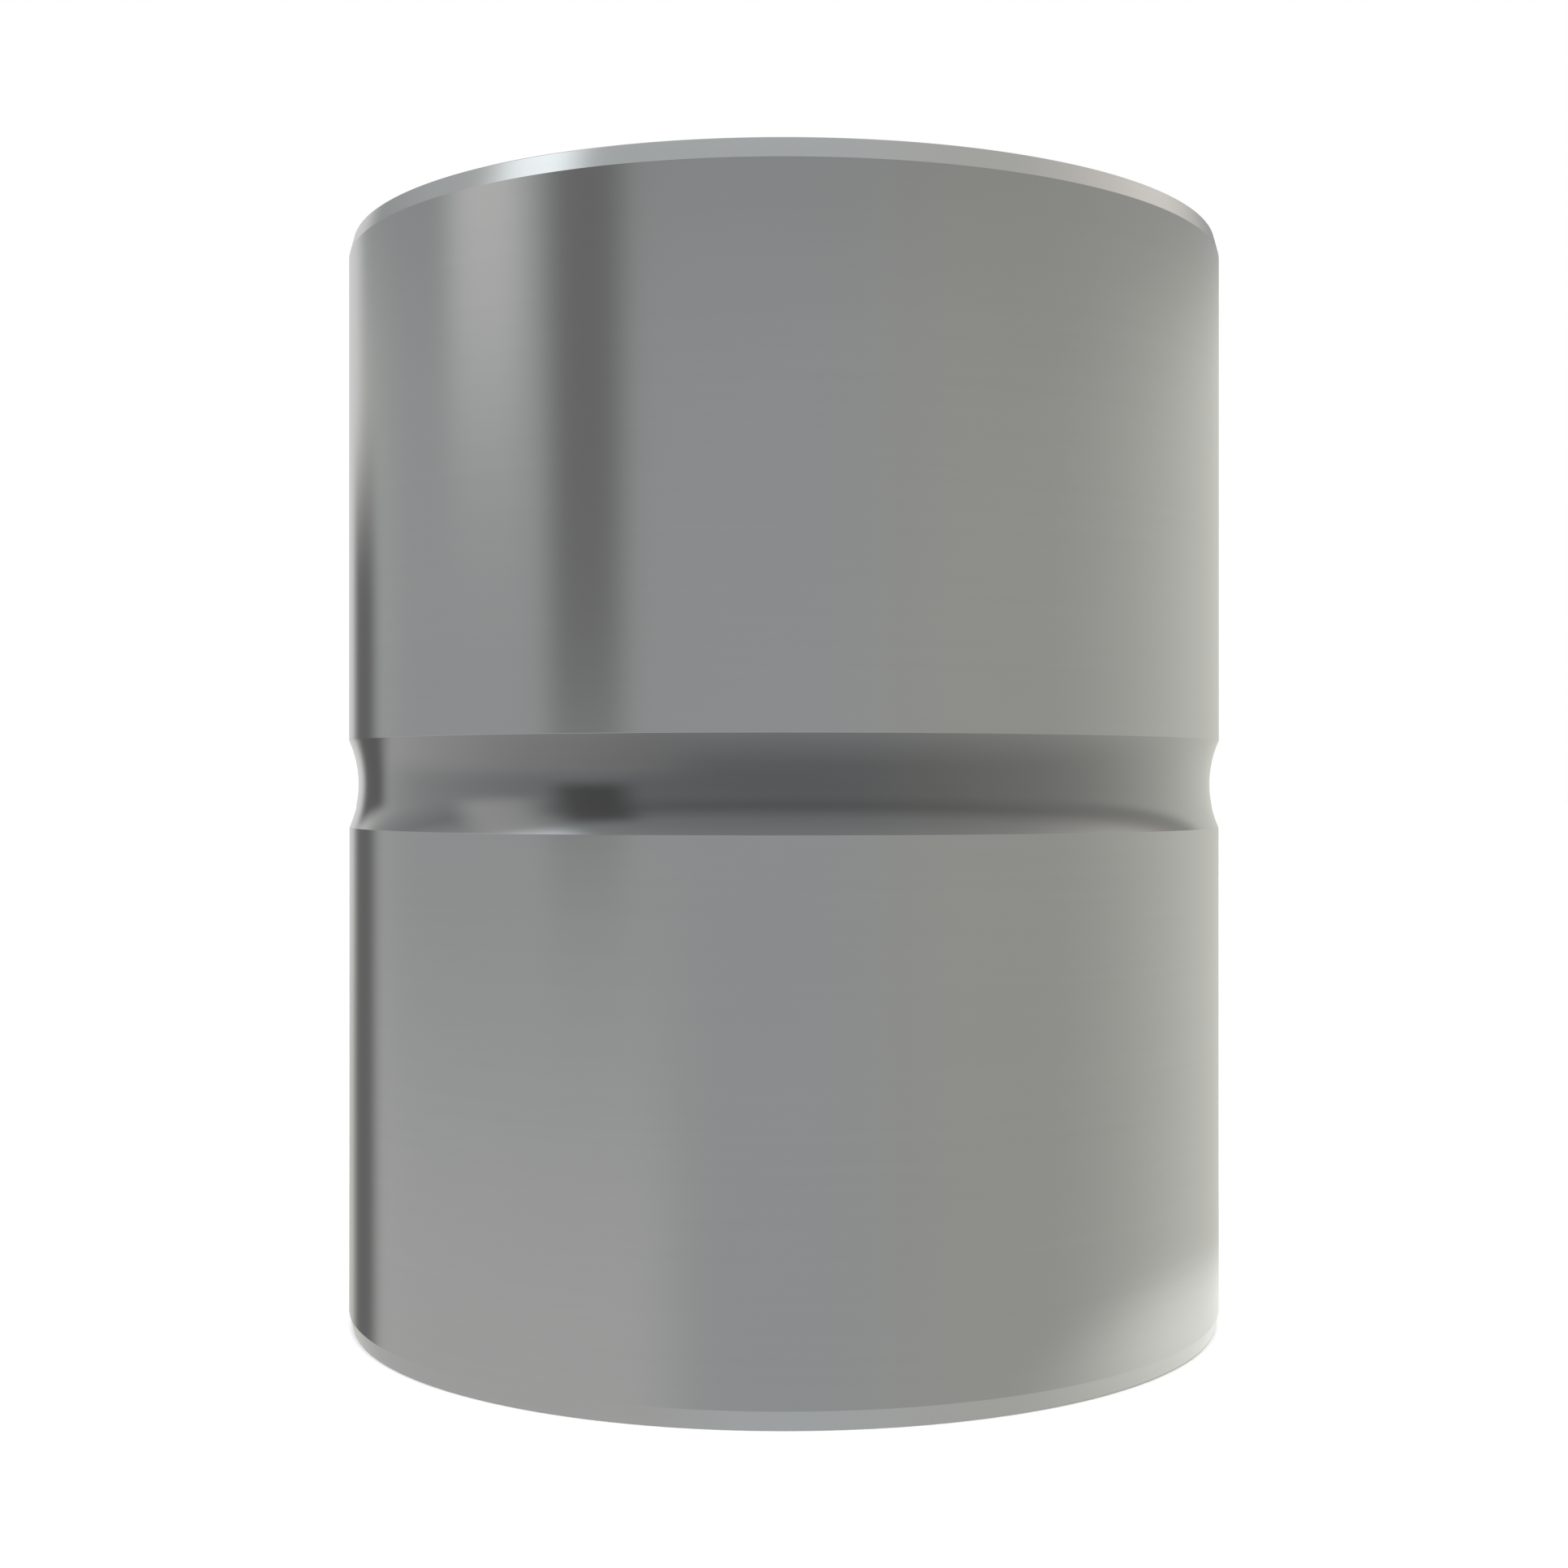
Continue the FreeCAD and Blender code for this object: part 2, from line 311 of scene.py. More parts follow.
@dataclass(frozen=True)
class BlackOxide(Metal):
    """Black oxide on a screw, rubbed through on the crests of its thread.

    Attributes:
        crest: Radius of the thread's crests, in millimetres.
        rub: How far below the crests the rubbing reaches, in millimetres.
        patch_rate: Number of worn patches in a millimetre.
        patch_noise: Noise at which the wear starts and at which it is full.
        patch_share: How bare the metal is where the wear is full.
    """

    crest: float = 3.945
    rub: float = 0.12
    patch_rate: float = 0.9
    patch_noise: tuple[float, float] = (-0.16, 0.22)
    patch_share: float = 0.7

    def wear(self, graph: Graph, x: Value, y: Value, z: Value) -> Value:
        """Return the share of bare metal, which is most on the crests and comes in patches."""
        radius = (x * x + y * y).root()
        place = graph.join(*(part * self.patch_rate for part in (x, y, z)))
        patches = graph.noise(place, detail=4.0).ease(*self.patch_noise)
        return radius.ease(self.crest - self.rub, self.crest) * patches * self.patch_share


BARE_STEEL: Colour = (0.42, 0.41, 0.39)


# Meshes ---------------------------------------------------------------------------------------


@dataclass
class Solid:
    """A closed mesh in millimetres.

    Attributes:
        points: Its corners.
        faces: The corners of each face, by number, counterclockwise from outside.
        finishes: The number of each face's finish.
    """

    points: list[tuple[float, float, float]]
    faces: list[tuple[int, ...]]
    finishes: list[int]

    def piece(self, name: str, materials: list[bpy.types.Material],
              place: Matrix | None = None) -> bpy.types.Object:
        """Make a Blender object of the solid.

        Args:
            name: The object's name.
            materials: One material for each number of a finish.
            place: Where to lay the mesh, in millimetres.

        Returns:
            The object, at the origin and in the scene.
        """
        mesh = bpy.data.meshes.new(name)
        mesh.from_pydata(self.points, [], self.faces)
        for material in materials:
            mesh.materials.append(material)
        mesh.polygons.foreach_set("material_index", self.finishes)
        if place is not None:
            mesh.transform(place)
        mesh.update()
        piece = bpy.data.objects.new(name, mesh)
        bpy.context.scene.collection.objects.link(piece)
        return piece


def combine(work: bpy.types.Object, tool: bpy.types.Object, operation: str) -> None:
    """Cut one object with another, and put the tool away.

    Args:
        work: The object that is changed. It keeps the finishes of both.
        tool: The other object, which is removed.
        operation: DIFFERENCE, INTERSECT or UNION.
    """
    modifier = work.modifiers.new("cut", "BOOLEAN")
    modifier.operation = operation
    modifier.solver = "EXACT"
    modifier.object = tool
    graph = bpy.context.evaluated_depsgraph_get()
    result = bpy.data.meshes.new_from_object(work.evaluated_get(graph))
    work.modifiers.clear()
    before, work.data = work.data, result
    result.name = work.name
    bpy.data.meshes.remove(before)
    used = tool.data
    bpy.data.objects.remove(tool)
    bpy.data.meshes.remove(used)


def loose_parts(solids: list[Solid]) -> Solid:
    """Gather solids that don't touch into one."""
    points, faces, finishes = [], [], []
    for solid in solids:
        start = len(points)
        points += solid.points
        faces += [tuple(start + corner for corner in face) for face in solid.faces]
        finishes += solid.finishes
    return Solid(points, faces, finishes)


@dataclass(frozen=True)
class Station:
    """A point on a turned section.

    Attributes:
        radius: Distance from the axis, in millimetres.
        height: Distance along the axis, in millimetres.
        facing: Angle that the surface faces, from straight out towards +Z, in radians.
        finish: Number of the finish from here to the next station.
    """

    radius: float
    height: float
    facing: float
    finish: int


class Outline:
    """A turned section. The metal lies to the left of its direction of travel."""

    def __init__(self) -> None:
        """Start with nothing drawn."""
        self.stations: list[Station] = []

    def stop(self, radius: float, height: float, facing: float, finish: int) -> None:
        """Add one station."""
        self.stations.append(Station(radius, height, facing, finish))

    def arc(self, centre: Vector, radius: float, first: float, last: float, finish: int,
            steps: int) -> None:
        """Add stations on an arc.

        Args:
            centre: The arc's centre.
            radius: Its radius, below 0 where the metal is outside it.
            first: The facing at its start, in radians.
            last: The facing at its end, in radians.
            finish: Number of its finish, and of the run that follows.
            steps: How many pieces the arc is in.
        """
        for step in range(steps + 1):
            facing = first + (last - first) * step / steps
            self.stop(centre.x + radius * math.cos(facing), centre.y + radius * math.sin(facing),
                      facing, finish)

    def corner(self, before: tuple[float, float], here: tuple[float, float],
               after: tuple[float, float], rounding: float, finish: int, steps: int = 4) -> None:
        """Add a rounded corner between two straight runs.

        Args:
            before: Radius and height of the corner before.
            here: Radius and height of this corner.
            after: Radius and height of the corner after.
            rounding: Radius of the round.
            finish: Number of the finish of the round and of the run that follows.
            steps: How many pieces the round is in.
        """
        here = Vector(here)
        into = (here - Vector(before)).normalized()
        away = (Vector(after) - here).normalized()
        turn = math.atan2(into.x * away.y - into.y * away.x, into.dot(away))
        first = math.atan2(-into.x, into.y)
        signed = math.copysign(rounding, turn)
        start = here - into * rounding * math.tan(abs(turn) / 2)
        centre = start - signed * Vector((math.cos(first), math.sin(first)))
        self.arc(centre, signed, first, first + turn, finish, steps)

    def turned(self, steps: int, closed: bool) -> Solid:
        """Turn the section round the Z axis.

        Args:
            steps: How many faces go round.
            closed: True for a ring. False for a section that starts and ends on the axis.

        Returns:
            The turned solid.
        """
        points: list[tuple[float, float, float]] = []
        rings: list[list[int]] = []
        for station in self.stations:
            on_axis = station.radius < 1e-6
            count = 1 if on_axis else steps
            ring = []
            for step in range(count):
                angle = 2 * math.pi * step / steps
                ring.append(len(points))
                points.append((station.radius * math.cos(angle), station.radius * math.sin(angle),
                               station.height))
            rings.append(ring * steps if on_axis else ring)
        faces, finishes = [], []
        last = len(rings) if closed else len(rings) - 1
        for number in range(last):
            low, high = rings[number], rings[(number + 1) % len(rings)]
            for step in range(steps):
                after = (step + 1) % steps
                face = (low[step], low[after], high[after], high[step])
                faces.append(tuple(dict.fromkeys(face)))
                finishes.append(self.stations[number].finish)
        return Solid(points, faces, finishes)

    def normals_at(self, points: np.ndarray) -> np.ndarray:
        """Return the direction that the turned surface faces near each of some points."""
        radii = np.hypot(points[:, 0], points[:, 1])
        flat = np.stack([radii, points[:, 2]], axis=1)
        starts = np.array([(s.radius, s.height) for s in self.stations])
        facings = np.array([(math.cos(s.facing), math.sin(s.facing)) for s in self.stations])
        ends, end_facings = np.roll(starts, -1, axis=0), np.roll(facings, -1, axis=0)
        runs = ends - starts
        lengths = np.maximum((runs ** 2).sum(axis=1), 1e-12)
        along = ((flat[:, None] - starts) * runs).sum(axis=2) / lengths
        along = np.clip(along, 0.0, 1.0)
        gaps = ((flat[:, None] - starts - along[..., None] * runs) ** 2).sum(axis=2)
        nearest = gaps.argmin(axis=1)
        share = along[np.arange(len(flat)), nearest][:, None]
        section = (1 - share) * facings[nearest] + share * end_facings[nearest]
        section /= np.linalg.norm(section, axis=1)[:, None]
        outward = points[:, :2] / np.maximum(radii, 1e-9)[:, None]
        return np.column_stack([outward * section[:, :1], section[:, 1]])


def smooth(piece: bpy.types.Object, sharp_angle: float, outline: Outline | None = None,
           turned_finishes: tuple[int, ...] = ()) -> None:
    """Shade a piece smoothly between its sharp edges.

    Args:
        piece: The piece, still in millimetres.
        sharp_angle: Edges that turn by more than this angle stay sharp, in radians.
        outline: The section that its turned faces follow exactly.
        turned_finishes: Numbers of the finishes of the turned faces.
    """
    mesh = piece.data
    mesh.polygons.foreach_set("use_smooth", [True] * len(mesh.polygons))
    mesh.set_sharp_from_angle(angle=sharp_angle)
    if outline is None:
        return
    normals = np.empty(len(mesh.loops) * 3, dtype=np.float32)
    mesh.corner_normals.foreach_get("vector", normals)
    normals = normals.reshape(-1, 3)
    corners = np.empty(len(mesh.loops), dtype=np.int32)
    mesh.loops.foreach_get("vertex_index", corners)
    points = np.empty(len(mesh.vertices) * 3, dtype=np.float32)
    mesh.vertices.foreach_get("co", points)
    sizes = np.empty(len(mesh.polygons), dtype=np.int32)
    mesh.polygons.foreach_get("loop_total", sizes)
    finishes = np.empty(len(mesh.polygons), dtype=np.int32)
    mesh.polygons.foreach_get("material_index", finishes)
    exact = outline.normals_at(points.reshape(-1, 3).astype(np.float64))[corners]
    turned = np.isin(np.repeat(finishes, sizes), turned_finishes)
    mesh.normals_split_custom_set(np.where(turned[:, None], exact, normals).tolist())


@dataclass(frozen=True)
class Thread:
    """A right-hand 60 degree thread along Z, in step with every other thread of its kind.

    Attributes:
        pitch: Advance in one turn, in millimetres.
        outer: Radius at the major diameter, in millimetres.
        depth: Radial depth from the major to the minor diameter, in millimetres.
        easing: How much each corner of the thread's section is eased, as a share of the pitch.
    """

    pitch: float = 1.25
    outer: float = 3.985
    depth: float = 0.66
    easing: float = 0.022

    def section(self) -> list[tuple[float, float]]:
        """Return one turn's section as shares of the pitch and radii."""
        crest, flank = 1 / 8, 5 / 16
        inner = self.outer - self.depth
        slope = self.easing * self.depth / flank
        root, rise = crest + flank, 1 - flank
        return [
            (self.easing, self.outer), (crest - self.easing, self.outer),
            (crest + self.easing, self.outer - slope), (root - self.easing, inner + slope),
            (root + self.easing, inner), (rise - self.easing, inner),
            (rise + self.easing, inner + slope), (1 - self.easing, self.outer - slope),
        ]

    def rod(self, start: float, end: float, growth: float, finish: int, steps: int = 64) -> Solid:
        """Make a threaded rod that covers a length of the Z axis.

        Args:
            start: Where it has to start, or lower, in millimetres.
            end: Where it has to end, or higher, in millimetres.
            growth: How far its surface stands outside the thread's own, in millimetres.
            finish: Number of its finish.
            steps: How many faces go round.

        Returns:
            The rod, closed at both ends.
        """
        rows = self.section()
        turn = len(rows)
        first, last = math.floor(start / self.pitch - 1) * turn, math.ceil(end / self.pitch) * turn
        tall = last - first + 1
        points = []
        for step in range(steps):
            angle = 2 * math.pi * step / steps
            for row in range(first, last + 1):
                share, radius = rows[row % turn]
                height = self.pitch * (row // turn + share + step / steps)
                radius += growth
                points.append((radius * math.cos(angle), radius * math.sin(angle), height))

        faces = []
        for step in range(steps):
            here, lift = step * tall, turn if step == steps - 1 else 0
            after = (step + 1) % steps * tall + lift
            for row in range(tall - 1 - lift):
                faces.append((here + row, after + row, after + row + 1, here + row + 1))

        bottom = [step * tall for step in range(steps)] + list(range(turn, 0, -1))
        final = (steps - 1) * tall
        top = [step * tall + tall - 1 for step in range(steps)]
        top += [final + tall - 1 - row for row in range(1, turn + 1)]
        for rim, level in ((bottom[::-1], first // turn + 0.5), (top, last // turn + 0.5)):
            centre = len(points)
            points.append((0.0, 0.0, level * self.pitch))
            faces += [(rim[i], rim[(i + 1) % len(rim)], centre) for i in range(len(rim))]
        return Solid(points, faces, [finish] * len(faces))


def prism(rings: list[list[tuple[float, float, float]]], finish: int) -> Solid:
    """Join rings of points, from bottom to top and counterclockwise, and close both ends."""
    count = len(rings[0])
    points = [point for ring in rings for point in ring]
    faces = [tuple(range(count))[::-1], tuple(range(len(points) - count, len(points)))]
    for level in range(len(rings) - 1):
        for number in range(count):
            after = (number + 1) % count
            low, high = level * count, (level + 1) * count
            faces.append((low + number, low + after, high + after, high + number))
    return Solid(points, faces, [finish] * len(faces))


# The sleeve -----------------------------------------------------------------------------------


class SleeveFace(IntEnum):
    """The machined surfaces of the sleeve, in the order of its materials."""

    OUTSIDE = 0
    RIM_CHAMFER = 1
    END = 2
    WAIST = 3
    BORE = 4
    RELIEF = 5
    KEYWAY = 6
    THREAD = 7
    COUNTERSINK = 8


@dataclass(frozen=True)
class HoleRow:
    """A row of two screw holes in the sleeve's wall.

    Attributes:
        turn: The rotation that takes +Z to the direction that the holes point out in.
        start: Distance from the sleeve's axis at which the cut thread has to start.
        heights: Heights of the holes' axes, in millimetres.
    """

    turn: Matrix
    start: float
    heights: tuple[float, float]

    def places(self) -> list[Matrix]:
        """Return the place of each hole, with its own Z pointing out."""
        return [Matrix.Translation((0, 0, height)) @ self.turn for height in self.heights]


@dataclass
class Sleeve:
    """The one-piece steel sleeve. All sizes are in millimetres.

    Attributes:
        radius: Radius of the outside.
        half_length: Half of its length.
        holes: Its two rows of screw holes.
        thread: The thread in the screw holes.
        chamfer_length: Length of the rim chamfers along the axis.
        chamfer_angle: Their angle from the axis, in radians.
        edge_round: Radius of the round on each turned edge.
        waist_radius: Section radius of the groove round the middle.
        waist_depth: Its depth.
        bore_radius: Radius of the bore.
        bore_chamfer: Size of the lead-in at each end of the bore.
        relief_radius: Radius of the relief in the middle of the bore.
        relief_half_width: Half of its width along the axis.
        keyway_half_width: Half of the width of the keyway.
        keyway_floor: Distance of its floor from the sleeve's axis.
        keyway_start: Distance at which its cutter starts, inside the bore.
        keyway_round: Radius of its corners.
        keyway_edge_break: Size of the edge break at its ends.
        countersink_radius: Radius of a screw hole's lead-in at the outside.
        cut_past: How far a tap runs past the outside.
        sharp_angle: Edges that turn by more than this stay sharp, in radians.
        steps_round: How many faces go round the sleeve.
        sink_steps: How many faces go round a lead-in.
    """

    radius: float
    half_length: float
    holes: tuple[HoleRow, ...]
    thread: Thread
    chamfer_length: float = 1.0
    chamfer_angle: float = math.radians(15.0)
    edge_round: float = 0.06
    waist_radius: float = 6.0
    waist_depth: float = 0.52
    bore_radius: float = 12.5
    bore_chamfer: float = 1.0
    relief_radius: float = 13.0
    relief_half_width: float = 4.0
    keyway_half_width: float = 4.0
    keyway_floor: float = 15.8
    keyway_start: float = 9.0
    keyway_round: float = 0.25
    keyway_edge_break: float = 0.15
    countersink_radius: float = 4.394
    cut_past: float = 1.0
    sharp_angle: float = math.radians(35.0)
    steps_round: int = 360
    sink_steps: int = 96

    def finishes(self) -> list[Metal]:
        """Return the finish of each surface, in the order of SleeveFace."""
        ground = (0.60, 0.60, 0.595)
        return [
            Metal("ground_outside", ground, 0.17, Lay.AROUND, 0.5, 0.00003, 0.01, 0.012, 14.0),
            Metal("turned_rim", ground, 0.16, Lay.AROUND, 0.4, 0.00003, 0.01, 0.012),
            Metal("faced_end", (0.57, 0.57, 0.56), 0.27, Lay.FACED, 0.38, 0.0016, 0.08, 0.03),
            # Painted shade: the waist's dark colour stands in for shade in the groove, deepest
            # face-on, and nears the ground colour at a glancing angle.
            Metal("turned_waist_painted_shade", (0.222, 0.222, 0.226), 0.13, Lay.AROUND, 0.4, 0.00005, 0.02, 0.02,
                  glancing=ground),
            Metal("honed_bore", (0.55, 0.55, 0.54), 0.24, Lay.AROUND, 0.38, 0.0012, 0.08, 0.03),
            Metal("bored_relief", (0.44, 0.44, 0.43), 0.36, Lay.AROUND, 0.4, 0.003, 0.1, 0.04),
            Metal("broached_keyway", (0.48, 0.48, 0.47), 0.33, Lay.ALONG, 0.42, 0.0025, 0.1, 0.05),
            Metal("tapped_thread", (0.45, 0.445, 0.43), 0.34, Lay.PLAIN, 0.5, 0.002, 0.08, 0.05, 3.0),
            Metal("countersunk_mouth", (0.56, 0.56, 0.55), 0.26, Lay.PLAIN, 0.4, 0.001, 0.06, 0.03),
        ]

    def outline(self) -> Outline:
        """Draw the sleeve's section.

        Returns:
            The section, from the lower end out, up the outside, in, and down the bore.
        """
        face = SleeveFace
        rim = self.radius - self.chamfer_length * math.tan(self.chamfer_angle)
        shoulder = self.half_length - self.chamfer_length
        mouth = self.bore_radius + self.bore_chamfer
        throat = self.half_length - self.bore_chamfer
        relief = self.relief_half_width
        end = self.half_length
        corners = [
            ((mouth, -end), face.END), ((rim, -end), face.RIM_CHAMFER),
            ((self.radius, -shoulder), face.OUTSIDE), ((self.radius, shoulder), face.RIM_CHAMFER),
            ((rim, end), face.END), ((mouth, end), face.BORE),
            ((self.bore_radius, throat), face.BORE), ((self.bore_radius, relief), face.RELIEF),
            ((self.relief_radius, relief), face.RELIEF),
            ((self.relief_radius, -relief), face.RELIEF),
            ((self.bore_radius, -relief), face.BORE), ((self.bore_radius, -throat), face.BORE),
        ]
        places = [place for place, _ in corners]
        outline = Outline()
        for number, (place, finish) in enumerate(corners):
            outline.corner(places[number - 1], place, places[(number + 1) % len(places)],
                           self.edge_round, finish)
            if place == (self.radius, -shoulder):
                self.draw_waist(outline)
        return outline

    def draw_waist(self, outline: Outline) -> None:
        """Draw the groove round the middle, with an eased edge on each side."""
        middle = Vector((self.radius - self.waist_depth + self.waist_radius, 0.0))
        across = self.waist_radius - self.waist_depth + self.edge_round
        edge = math.sqrt((self.waist_radius + self.edge_round) ** 2 - across ** 2)
        tilt = math.atan2(edge, across)
        inner = self.radius - self.edge_round
        outline.arc(Vector((inner, -edge)), self.edge_round, 0.0, tilt, SleeveFace.OUTSIDE, 4)
        outline.arc(middle, -self.waist_radius, tilt, -tilt, SleeveFace.WAIST, 32)
        outline.arc(Vector((inner, edge)), self.edge_round, -tilt, 0.0, SleeveFace.OUTSIDE, 4)

    def keyway_ring(self, height: float, growth: float) -> list[tuple[float, float, float]]:
        """Return the keyway's section at a height, grown all round by a distance."""
        half, floor = self.keyway_half_width + growth, self.keyway_floor + growth
        rounding, steps = self.keyway_round + growth, 6
        ring = [(-half, self.keyway_start, height), (half, self.keyway_start, height)]
        for side, first in ((1, 0.0), (-1, math.pi / 2)):
            for step in range(steps + 1):
                angle = first + math.pi / 2 * step / steps
                ring.append((side * (half - rounding) + rounding * math.cos(angle),
                             floor - rounding + rounding * math.sin(angle), height))
        return ring

    def keyway_cutter(self) -> Solid:
        """Make the keyway, flared by a small edge break at both end faces."""
        end, flare, beyond = self.half_length, self.keyway_edge_break, 0.5
        levels = [(-end - beyond, flare + beyond), (-end + flare, 0.0),
                  (end - flare, 0.0), (end + beyond, flare + beyond)]
        return prism([self.keyway_ring(*level) for level in levels], SleeveFace.KEYWAY)

    def countersink(self) -> Solid:
        """Make the 90 degree lead-in of a screw hole, with its own Z pointing out."""
        beyond, inner = 2.0, 2.5
        cone = Outline()
        depth = self.radius - (self.countersink_radius - inner)
        cone.stop(0.0, depth, 0.0, SleeveFace.COUNTERSINK)
        cone.stop(inner, depth, 0.0, SleeveFace.COUNTERSINK)
        cone.stop(self.countersink_radius + beyond, self.radius + beyond, 0.0,
                  SleeveFace.COUNTERSINK)
        cone.stop(0.0, self.radius + beyond, 0.0, SleeveFace.COUNTERSINK)
        return cone.turned(self.sink_steps, closed=False)

    def build(self) -> bpy.types.Object:
        """Turn, broach, tap and countersink the sleeve, and dress it.

        Returns:
            The finished piece, in metres.
        """
        materials = [finish.material() for finish in self.finishes()]
        outline = self.outline()
        piece = outline.turned(self.steps_round, closed=True).piece("sleeve_steel", materials)
        combine(piece, self.keyway_cutter().piece("keyway_cutter", materials), "DIFFERENCE")
        for row in self.holes:
            for place in row.places():
                end = self.radius + self.cut_past
                tap = self.thread.rod(row.start, end, 0.0, SleeveFace.THREAD)
                combine(piece, tap.piece("tap", materials, place), "DIFFERENCE")
                sink = self.countersink().piece("sink", materials, place)
                combine(piece, sink, "DIFFERENCE")
        turned = (SleeveFace.OUTSIDE, SleeveFace.RIM_CHAMFER, SleeveFace.END, SleeveFace.WAIST,
                  SleeveFace.BORE, SleeveFace.RELIEF)
        smooth(piece, self.sharp_angle, outline, turned)
        piece.data.transform(Matrix.Scale(MM, 4))
        return piece


# The set screws -------------------------------------------------------------------------------


class ScrewFace(IntEnum):
    """The surfaces of a set screw, in the order of its materials."""

    THREAD = 0
    END = 1
    SOCKET = 2


@dataclass
class SetScrew:
    """A cup-point set screw in its hole. All sizes are in millimetres.

    Attributes:
        node: The CAD node that it stands for, which is also its body's name.
        turn: The rotation that takes +Z to the direction that the screw points out in.
        height: Height of its axis on the sleeve.
        tip: Distance of its cup's rim from the sleeve's axis.
        head: Distance of its socket end from the sleeve's axis.
        socket_depth: Depth of its hexagon socket.
        thread: The thread, which is the hole's own.
        running_gap: Gap between its thread and the hole's.
        cup_radius: Radius of the cup point's rim.
        cup_depth: Depth of the cone inside the cup.
        head_radius: Radius of its flat end round the socket.
        edge_round: Radius of the round on each turned edge.
        socket_width: Width of the hexagon across its flats.
        socket_lead_radius: Radius of the lead-in at the mouth of the socket.
        drill_angle: Angle of the drilled point's wall from a flat end, in radians.
        drill_gap: How far inside the flats the drill's wall is.
        drill_rise: How far the drill's wall reaches above the socket's floor.
        blank_allowance: How far its blank stands outside the thread.
        cut_past: How far its blank and its socket run past its ends.
        sharp_angle: Edges that turn by more than this stay sharp, in radians.
        steps_round: How many faces go round its outside.
        socket_steps: How many faces go round the cones of the socket.
    """

    node: str
    turn: Matrix
    height: float
    tip: float
    head: float
    socket_depth: float
    thread: Thread
    running_gap: float = 0.04
    cup_radius: float = 2.5
    cup_depth: float = 1.2
    head_radius: float = 2.964
    edge_round: float = 0.05
    socket_width: float = 4.0
    socket_lead_radius: float = 2.42
    drill_angle: float = math.radians(31.0)
    drill_gap: float = 0.03
    drill_rise: float = 0.4
    blank_allowance: float = 0.5
    cut_past: float = 1.0
    sharp_angle: float = math.radians(32.0)
    steps_round: int = 96
    socket_steps: int = 72

    def finishes(self) -> list[Metal]:
        """Return the finish of each surface, in the order of ScrewFace."""
        black = (0.058, 0.056, 0.054)
        return [
            BlackOxide("oxide_thread", black, 0.36, Lay.PLAIN, 0.5, 0.0015, 0.12, 0.1, 2.5),
            Metal("oxide_turned", (0.066, 0.064, 0.062), 0.33, Lay.FACED, 0.36, 0.0015, 0.14, 0.1,
                  2.0),
            Metal("oxide_socket", (0.05, 0.048, 0.046), 0.4, Lay.ALONG, 0.4, 0.002, 0.12, 0.1, 2.0),
        ]

    def envelope(self) -> Solid:
        """Turn the screw's outside: cup point, chamfers and socket end."""
        reach = self.thread.outer + self.blank_allowance
        tip_rise, head_fall = reach - self.cup_radius, reach - self.head_radius
        places = [
            (0.0, self.tip + self.cup_depth), (self.cup_radius, self.tip),
            (reach, self.tip + tip_rise), (reach, self.head - head_fall),
            (self.head_radius, self.head), (0.0, self.head),
        ]
        outline = Outline()
        outline.stop(*places[0], 0.0, ScrewFace.END)
        for number in range(1, len(places) - 1):
            outline.corner(places[number - 1], places[number], places[number + 1],
                           self.edge_round, ScrewFace.END)
        outline.stop(*places[-1], 0.0, ScrewFace.END)
        return outline.turned(self.steps_round, closed=False)

    def hexagon(self) -> Solid:
        """Make the broached hexagon of the socket, from its floor to beyond the screw."""
        corner = self.socket_width / 2 / math.cos(math.pi / 6)
        rings = []
        for height in (self.head - self.socket_depth, self.head + self.cut_past):
            angles = [math.pi / 3 * side for side in range(6)]
            rings.append([(corner * math.cos(a), corner * math.sin(a), height) for a in angles])
        return prism(rings, ScrewFace.SOCKET)

    def socket_cones(self) -> Solid:
        """Make the drilled point below the socket and the lead-in at its mouth."""
        floor = self.head - self.socket_depth
        drill = self.socket_width / 2 - self.drill_gap
        rise = floor + self.drill_rise
        point = Outline()
        point.stop(0.0, floor - drill * math.tan(self.drill_angle), 0.0, ScrewFace.SOCKET)
        point.stop(drill, floor, 0.0, ScrewFace.SOCKET)
        point.stop(drill, rise, 0.0, ScrewFace.SOCKET)
        point.stop(0.0, rise, 0.0, ScrewFace.SOCKET)
        lead, beyond, inner = Outline(), 0.5, 1.6
        lead.stop(0.0, self.head - (self.socket_lead_radius - inner), 0.0, ScrewFace.END)
        lead.stop(inner, self.head - (self.socket_lead_radius - inner), 0.0, ScrewFace.END)
        lead.stop(self.socket_lead_radius + beyond, self.head + beyond, 0.0, ScrewFace.END)
        lead.stop(0.0, self.head + beyond, 0.0, ScrewFace.END)
        return loose_parts([cone.turned(self.socket_steps, closed=False) for cone in (point, lead)])

    def build(self) -> bpy.types.Object:
        """Cut the screw from a threaded rod, dress it and lay it in its hole.

        Returns:
            The finished piece, in metres.
        """
        materials = [finish.material() for finish in self.finishes()]
        rod = self.thread.rod(self.tip - self.cut_past, self.head + self.cut_past,
                              -self.running_gap, ScrewFace.THREAD)
        piece = rod.piece(f"{self.node}_steel", materials)
        combine(piece, self.envelope().piece("envelope", materials), "INTERSECT")
        combine(piece, self.hexagon().piece("hexagon", materials), "DIFFERENCE")
        combine(piece, self.socket_cones().piece("cones", materials), "DIFFERENCE")
        smooth(piece, self.sharp_angle)
        piece.data.transform(Matrix.Scale(MM, 4))
        piece.matrix_world = Matrix.Translation((0, 0, self.height * MM)) @ self.turn
        return piece


# The studio -----------------------------------------------------------------------------------


